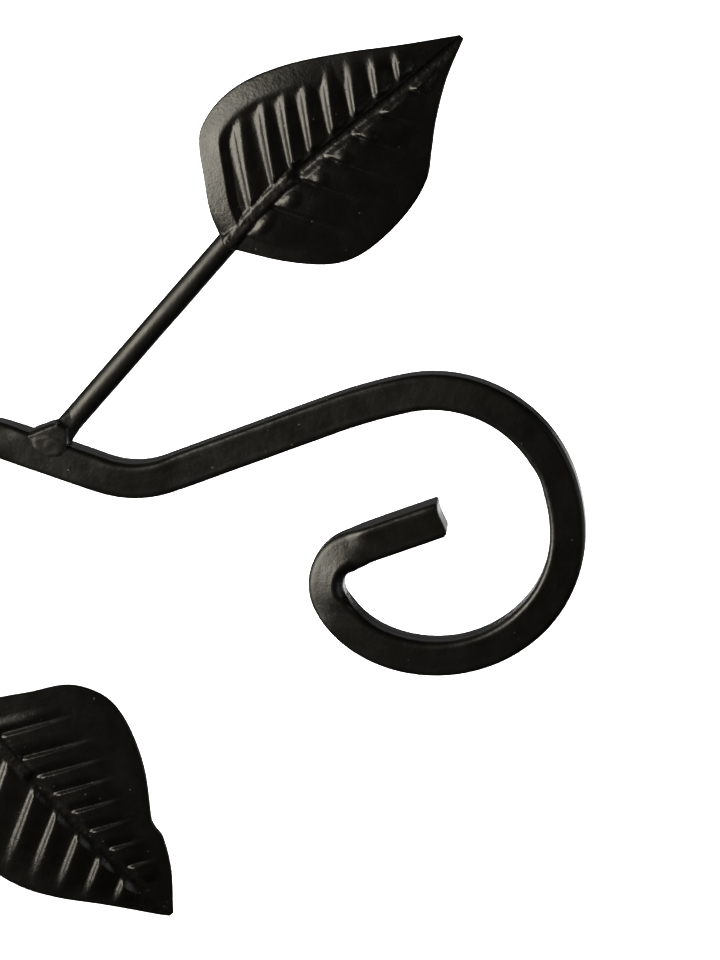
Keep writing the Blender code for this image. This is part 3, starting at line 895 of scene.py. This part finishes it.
def eased(t):
    """From 0 to 1, nearly straight, with soft ends."""
    return (1.0 - VEIN_ROUNDNESS) * t + VEIN_ROUNDNESS * t * t * (3 - 2 * t)


def soft_min(a, b, width):
    """The smaller of two slopes, with a rounded crest between them."""
    near = max(0.0, 1.0 - abs(a - b) / width)
    return min(a, b) - near**2 * width / 4


class Leaf:
    """A stamped leaf: its margins, its midrib and the relief pressed into it."""

    def __init__(self, name, left, right, midrib, heading):
        self.name = name
        self.heading = direction(heading)
        self.midrib = smooth_run(midrib)
        self.margins = {-1: margin_line(left), 1: margin_line(right)}
        self.angles = dict(zip((-1, 1), VEIN_ANGLES[name]))
        self.veins = dict(zip((-1, 1), VEINS[name]))
        self.wide_side, self.wide_wall = WIDE_WALLS[name]

    def row(self, index, side):
        """Ends of a row of the sheet: on the midrib and on the margin of that side."""
        margin = self.margins[side]
        heading = side * self.angles[side]
        first, last = self.midrib[0][0], self.midrib[-1][0]
        veined_from = first + LEAF_BASE_LENGTH
        if index <= LEAF_BASE_ROWS:
            share = index / LEAF_BASE_ROWS
            inner = on_line_at(self.midrib, first + LEAF_BASE_LENGTH * share)
            veined = on_line_at(self.midrib, veined_from)
            return inner, at_share(margin, margin_share(margin, veined, heading) * share)
        step = (last - veined_from) / (LEAF_ROWS - LEAF_BASE_ROWS)
        inner = on_line_at(self.midrib, veined_from + step * (index - LEAF_BASE_ROWS))
        if index == LEAF_ROWS:
            return inner, margin[-1]
        return inner, at_share(margin, margin_share(margin, inner, heading))

    def vein_phase(self, rib_from, side, wall):
        """Share of the way from one vein's wall to the next, 0 at the foot of the wall."""
        veins = self.veins[side]
        for near, far in zip(veins, veins[1:]):
            foot = near - wall / 2 * (far - near)
            next_foot = far - wall / 2 * (far - near)
            if foot <= rib_from < next_foot:
                return (rib_from - foot) / (next_foot - foot)
        return 0.0

    def wide_rib(self, rib_from, out, side):
        """Height of a rib, 0 to 1: a wall that widens outwards, then an even fall."""
        narrow, wide, reach = self.wide_wall
        wall = narrow + (wide - narrow) * min(1.0, out / reach)
        phase = self.vein_phase(rib_from, side, wall)
        if phase >= wall:
            return 1.0 - eased((phase - wall) / (1 - wall))
        t = phase / wall
        at, width, height = VEIN_LINE
        line = height * (math.tanh((t - at) / width) - (2 * t - 1))
        return eased(t) + line * math.sin(math.pi * t)

    def lobe(self, rib_from, side):
        """Height of a lobe, 0 to 1: a narrow wall, a flat top, then a fall to the crease."""
        phase = self.vein_phase(rib_from, side, NARROW_WALL)
        if phase < NARROW_WALL:
            return eased(phase / NARROW_WALL)
        fall = max(0.0, (phase - NARROW_TOP) / (1 - NARROW_TOP))
        return 1.0 - fall**2

    def hammered(self, along, out):
        """Uneven surface that the tools leave on the ridge and in the midrib's valley."""
        where = Vector((along, out, HAMMER_SEED))
        marks = HAMMER[0] * noise.noise(where / HAMMER[1])
        marks += HAMMER_FINE[0] * noise.noise(where / HAMMER_FINE[1])
        return marks * (1.0 - smooth_step(out, *HAMMER_REACH))

    def ridge(self, along, out):
        """The raised cover of the stem: nearly flat on top, with a blunt end."""
        on = 1.0 - smooth_step(along, RIDGE_LENGTH - RIDGE_END, RIDGE_LENGTH)
        flat = math.sqrt(max(0.0, 1.0 - (out / RIDGE_HALF_WIDTH) ** 4))
        return RIDGE_HEIGHT * flat * on

    def margin_bead(self, along, back):
        """Low crest that runs beside the left margin, so the sheet's edge rolls back."""
        on = smooth_step(along, *MARGIN_BEAD_START)
        on *= 1.0 - smooth_step(along, *MARGIN_BEAD_END)
        rise = back / MARGIN_BEAD_OUT
        fall = 1.0 - (back - MARGIN_BEAD_OUT) / MARGIN_BEAD_IN
        crest = soft_min(rise, fall, MARGIN_BEAD_ROUND / MARGIN_BEAD_OUT)
        return MARGIN_BEADS[self.name] * on * max(0.0, crest)

    def mounds(self, along, out):
        height = 0.0
        for at, off, half_length, half_width, size in MOUNDS[self.name]:
            reach = ((along - at) / half_length) ** 2 + ((out - off) / half_width) ** 2
            height += size * max(0.0, 1.0 - reach) ** 1.5
        return height

    def relief(self, point, out, share, side, back):
        """Height of ridge, groove, ribs and margin at a point out from the midrib."""
        along, across = point
        offset = abs(across - on_line_at(self.midrib, along)[1])
        rib_from = along - offset / math.tan(math.radians(self.angles[side]))
        raised = smooth_step(out, *VEIN_START)
        style = "wide" if side == self.wide_side else "narrow"
        raised *= 1.0 - smooth_step(share, *VEIN_FADES[style])
        raised *= smooth_step(rib_from, *VEIN_FIRST_FADES[side])
        raised *= 1.0 - smooth_step(rib_from, *VEIN_TIP_FADE)
        rib = self.wide_rib(rib_from, out, side) if style == "wide" else self.lobe(rib_from, side)
        height = max(VEIN_HEIGHTS[style] * rib * raised, self.ridge(along, out))
        groove = GROOVE_DEPTH * (1.0 - smooth_step(out, 0.0, GROOVE_HALF_WIDTH))
        height -= groove * smooth_step(along, RIDGE_LENGTH - 2 * RIDGE_END,
                                       RIDGE_LENGTH + RIDGE_END)
        height += self.hammered(along, out)
        if side > 0:
            return height + self.mounds(along, out)
        return max(height, self.margin_bead(along, back)) if out > 1.0 else height

    def dome(self, point):
        along, across = point
        past = max(0.0, along - LEAF_TIP_DROP_START) / (LEAF_LENGTH - LEAF_TIP_DROP_START)
        return -LEAF_DOME * (across / LEAF_DOME_HALF_WIDTH) ** 2 - LEAF_TIP_DROP * past**2

    def lean(self, point):
        """Height from the leaf's lean, as the maker bent it a little out of the plane."""
        along, across = point
        pivot, fall, rise = LEAF_LEANS[self.name]
        ux, uz = self.heading
        x = (along - pivot) * ux + across * uz
        z = (along - pivot) * uz - across * ux
        return rise * z - fall * x

    def from_margin(self, points, side):
        """Distance of each point to the margin of that side."""
        line = np.array(self.margins[side])
        start, step = line[:-1], line[1:] - line[:-1]
        offset = np.array(points)[:, None, :] - start[None, :, :]
        t = np.clip((offset * step).sum(axis=2) / (step**2).sum(axis=1), 0.0, 1.0)
        return np.linalg.norm(offset - t[:, :, None] * step, axis=2).min(axis=1)

    def half_row(self, index, side):
        """(along, across, height, share of the full thickness) from the midrib outwards."""
        inner, outer = self.row(index, side)
        length = max(math.dist(inner, outer), 1e-6)
        shares = [(k / LEAF_COLUMNS) ** LEAF_COLUMN_CROWDING for k in range(1, LEAF_COLUMNS)]
        rim = [(1.0 - back / length, thick) for back, thick in reversed(RIM_STEPS)]
        last = 1.0 - RIM_STEPS[-1][0] / length
        columns = [(max(0.0, s * last), 1.0) for s in shares]
        columns += [(max(0.0, s), thick) for s, thick in rim]
        points = [tuple(a + (b - a) * s for a, b in zip(inner, outer)) for s, _ in columns]
        cells = []
        for point, (share, thick), back in zip(points, columns, self.from_margin(points, side)):
            height = self.dome(point) + self.lean(point)
            height += self.relief(point, share * length, share, side, back)
            cells.append((*point, height, thick))
        return cells

    def rows(self):
        grid = []
        for index in range(LEAF_ROWS + 1):
            middle = self.row(index, 1)[0]
            left = self.half_row(index, -1)
            right = self.half_row(index, 1)
            height = self.dome(middle) + self.lean(middle)
            height += self.relief(middle, 0.0, 0.0, -1, 0.0)
            grid.append(left[::-1] + [(*middle, height, 1.0)] + right)
        return grid


def add_leaf(leaf, base, replaced):
    """Places a leaf's grid on the bracket and closes it as a sheet with a rounded rim."""
    grid = leaf.rows()
    wide = len(grid[0])
    ux, uz = leaf.heading
    points = []
    for side in (-1, 1):
        for row in grid:
            for along, across, height, thick in row:
                x = base[0] + along * ux + across * uz
                z = base[1] + along * uz - across * ux
                points.append((x, -LEAF_FRONT - height + side * thick * LEAF_THICKNESS / 2, z))
    back = len(grid) * wide
    faces = []
    for i in range(len(grid) - 1):
        for k in range(wide - 1):
            a = i * wide + k
            quad = (a, a + 1, a + 1 + wide, a + wide)
            faces.append(quad)
            faces.append(tuple(back + v for v in reversed(quad)))
    rim = list(range(wide))
    rim += [i * wide + wide - 1 for i in range(1, len(grid))]
    rim += [(len(grid) - 1) * wide + k for k in range(wide - 2, -1, -1)]
    rim += [i * wide for i in range(len(grid) - 2, 0, -1)]
    for a, b in zip(rim, rim[1:] + rim[:1]):
        faces.append((b, a, back + a, back + b))
    return add_piece(leaf.name, points, faces, replaced)


def make_leaves():
    upper = Leaf("upper_blade", UPPER_LEAF_LEFT, UPPER_LEAF_RIGHT, UPPER_MIDRIB, UPPER_LEAF_ANGLE)
    lower = Leaf("lower_blade", LOWER_LEAF_LEFT, LOWER_LEAF_RIGHT, LOWER_MIDRIB, LOWER_LEAF_ANGLE)
    return (add_leaf(upper, UPPER_LEAF_BASE, "upper_leaf"),
            add_leaf(lower, LOWER_LEAF_BASE, "lower_leaf"))


def ramp(tree, source, inputs, outputs):
    """Socket with a smooth ramp of another socket's value."""
    node = tree.nodes.new("ShaderNodeMapRange")
    node.interpolation_type = "SMOOTHSTEP"
    node.inputs["From Min"].default_value, node.inputs["From Max"].default_value = inputs
    node.inputs["To Min"].default_value, node.inputs["To Max"].default_value = outputs
    tree.links.new(source, node.inputs["Value"])
    return node.outputs["Result"]


def noise_socket(tree, where, sizes):
    node = tree.nodes.new("ShaderNodeTexNoise")
    for name, size in zip(("Scale", "Detail", "Roughness"), sizes):
        node.inputs[name].default_value = size
    tree.links.new(where.outputs["Object"], node.inputs["Vector"])
    return node.outputs["Fac"]


def mixed(tree, factor, under, over):
    """Mixes a colour, or the colour of a socket, with another colour."""
    node = tree.nodes.new("ShaderNodeMix")
    node.data_type = "RGBA"
    tree.links.new(factor, node.inputs[0])
    if isinstance(under, tuple):
        node.inputs[MIX_UNDER].default_value = (*under, 1.0)
    else:
        tree.links.new(under, node.inputs[MIX_UNDER])
    node.inputs[MIX_OVER].default_value = (*over, 1.0)
    return node.outputs[MIX_RESULT]


def bump(tree, source, height, before=None):
    """Socket with the normal that a bump gives, on top of an earlier one."""
    node = tree.nodes.new("ShaderNodeBump")
    node.inputs["Strength"].default_value = 1.0
    node.inputs["Distance"].default_value = height * MM
    tree.links.new(source, node.inputs["Height"])
    if before:
        tree.links.new(before, node.inputs["Normal"])
    return node.outputs["Normal"]


def powder_coat(name):
    """Satin black coat: uneven tone and gloss, orange-peel skin, a fine grain and dust specks."""
    dark, light, roughness, peel, grain, dust = COATS[name]
    material = bpy.data.materials.new(name + "_powder_coat")
    material.use_nodes = True
    tree = material.node_tree
    shader = tree.nodes["Principled BSDF"]
    shader.inputs["Metallic"].default_value = 0.0
    shader.inputs["IOR"].default_value = COAT_IOR
    where = tree.nodes.new("ShaderNodeTexCoord")
    tone = mixed(tree, noise_socket(tree, where, TONE_NOISE), dark, light)
    specks = ramp(tree, noise_socket(tree, where, DUST_NOISE), dust, (0.0, 1.0))
    gloss = ramp(tree, noise_socket(tree, where, GLOSS_NOISE), GLOSS_SPAN, roughness)
    skin = bump(tree, noise_socket(tree, where, PEEL_NOISE), peel)
    fine = bump(tree, noise_socket(tree, where, GRAIN_NOISE), grain, skin)
    tree.links.new(mixed(tree, specks, tone, DUST_COLOR), shader.inputs["Base Color"])
    tree.links.new(gloss, shader.inputs["Roughness"])
    tree.links.new(fine, shader.inputs["Normal"])
    return material


def paint(pieces, coat):
    material = powder_coat(coat)
    for piece in pieces:
        piece.data.materials.clear()
        piece.data.materials.append(material)


def make_camera():
    """The photograph's view of the bracket."""
    a, e = math.radians(CAMERA_AZIMUTH), math.radians(CAMERA_ELEVATION)
    back = Vector((math.sin(a) * math.cos(e), -math.cos(a) * math.cos(e), math.sin(e)))
    right = (-back).cross(Vector((0, 0, 1))).normalized()
    up = right.cross(-back)
    roll = math.radians(CAMERA_ROLL)
    right, up = (right * math.cos(roll) + up * math.sin(roll),
                 up * math.cos(roll) - right * math.sin(roll))
    data = bpy.data.cameras.new("camera")
    data.sensor_fit = "AUTO"
    data.sensor_width = SENSOR
    data.lens = FOCAL_PIXELS / IMAGE_HEIGHT * SENSOR
    camera = link_object("camera", data)
    place_of_camera = (Vector(CAMERA_TARGET) + back * CAMERA_DISTANCE) * MM
    turn = Matrix((right, up, back)).transposed().to_4x4()
    camera.matrix_world = Matrix.Translation(place_of_camera) @ turn
    bpy.context.scene.camera = camera


def add_light(name, location, target, size, radiance, color, spread):
    """A soft box that shines from location towards target, with a given radiance."""
    data = bpy.data.lights.new(name, "AREA")
    data.shape = "RECTANGLE"
    data.size, data.size_y = size
    data.energy = radiance * math.pi * size[0] * size[1]
    data.color = color
    data.spread = math.radians(spread)
    light = link_object(name, data)
    aim = Vector(target) - Vector(location)
    light.rotation_euler = aim.to_track_quat("-Z", "Y").to_euler()
    light.location = location
    light.visible_camera = False
    return light


def make_world():
    """A dark studio with a glow low behind the bracket, and white where the camera looks."""
    world = bpy.data.worlds.new("studio")
    world.use_nodes = True
    tree = world.node_tree
    nodes, links = tree.nodes, tree.links
    where = nodes.new("ShaderNodeTexCoord")
    parts = nodes.new("ShaderNodeSeparateXYZ")
    links.new(where.outputs["Generated"], parts.inputs[0])
    low = ramp(tree, parts.outputs["Z"], WORLD_GLOW_HEIGHTS, (1.0, 0.0))
    behind = ramp(tree, parts.outputs["Y"], WORLD_GLOW_DEPTHS, (0.0, 1.0))
    glow = nodes.new("ShaderNodeMath")
    glow.operation = "MULTIPLY"
    links.new(low, glow.inputs[0])
    links.new(behind, glow.inputs[1])
    strength = ramp(tree, glow.outputs[0], (0.0, 1.0), (WORLD_DIM, WORLD_GLOW))
    links.new(strength, nodes["Background"].inputs["Strength"])
    pale = nodes.new("ShaderNodeBackground")
    pale.inputs["Color"].default_value = (*WHITE, 1.0)
    shown = nodes.new("ShaderNodeMixShader")
    rays = nodes.new("ShaderNodeLightPath")
    links.new(rays.outputs["Is Camera Ray"], shown.inputs[0])
    links.new(nodes["Background"].outputs[0], shown.inputs[1])
    links.new(pale.outputs[0], shown.inputs[2])
    links.new(shown.outputs[0], nodes["World Output"].inputs["Surface"])
    bpy.context.scene.world = world


def make_light():
    make_world()
    for box in SOFT_BOXES:
        add_light(*box)
    floor_light = add_light(*FLOOR_BOX)
    floor_light.visible_glossy = False


def add_floor(name, near, z, material):
    """A level stage plane that starts at Y = near and reaches back to the floor's far edge."""
    half = FLOOR_SIZE / 2
    mesh = bpy.data.meshes.new(name)
    mesh.from_pydata([(-half, near, z), (half, near, z), (half, half, z), (-half, half, z)], [],
                     [(0, 1, 2, 3)])
    mesh.materials.append(material)
    floor = link_object(name, mesh)
    return floor


def add_floor_sun(floor):
    """Soft light from above that reaches only the floor."""
    data = bpy.data.lights.new("floor_sun", "SUN")
    data.energy = FLOOR_SUN_STRENGTH
    data.angle = math.radians(FLOOR_SUN_ANGLE)
    sun = link_object("floor_sun", data)
    lit = bpy.data.collections.new("lit_by_floor_sun")
    lit.objects.link(floor)
    sun.light_linking.receiver_collection = lit


def make_floor():
    """The camera sees a whole pale floor, and the bracket mirrors only one behind it."""
    material = bpy.data.materials.new("pale_floor")
    material.use_nodes = True
    shader = material.node_tree.nodes["Principled BSDF"]
    shader.inputs["Base Color"].default_value = (*FLOOR_COLOR, 1.0)
    shader.inputs["Roughness"].default_value = FLOOR_ROUGHNESS
    floor = add_floor("floor", -FLOOR_SIZE / 2, FLOOR_Z, material)
    floor.visible_glossy = False
    floor.visible_diffuse = False
    floor.visible_shadow = False
    add_floor_sun(floor)
    mirrored = add_floor("mirrored_floor", MIRRORED_FLOOR_Y, FLOOR_Z - MIRRORED_FLOOR_DROP,
                         material)
    mirrored.visible_camera = False


noise.seed_set(NOISE_SEED)
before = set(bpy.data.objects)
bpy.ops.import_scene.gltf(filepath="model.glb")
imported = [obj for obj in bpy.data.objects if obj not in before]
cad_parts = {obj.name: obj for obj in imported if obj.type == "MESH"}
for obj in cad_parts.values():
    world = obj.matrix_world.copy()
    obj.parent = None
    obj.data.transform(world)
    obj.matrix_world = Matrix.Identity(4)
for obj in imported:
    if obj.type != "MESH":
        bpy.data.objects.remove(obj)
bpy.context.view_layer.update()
make_camera()
make_light()
make_floor()
arm, arm_piece = make_arm()
brace_piece = make_brace()
plate_piece = make_plate()
stem_pieces = make_stems(arm) + make_feet(arm)
bead_pieces = make_beads()
leaf_pieces = make_leaves()
paint((arm_piece, brace_piece, plate_piece, *bead_pieces), "bar")
paint(stem_pieces, "stem")
paint(leaf_pieces, "leaf")
bpy.context.scene.view_settings.view_transform = "Standard"
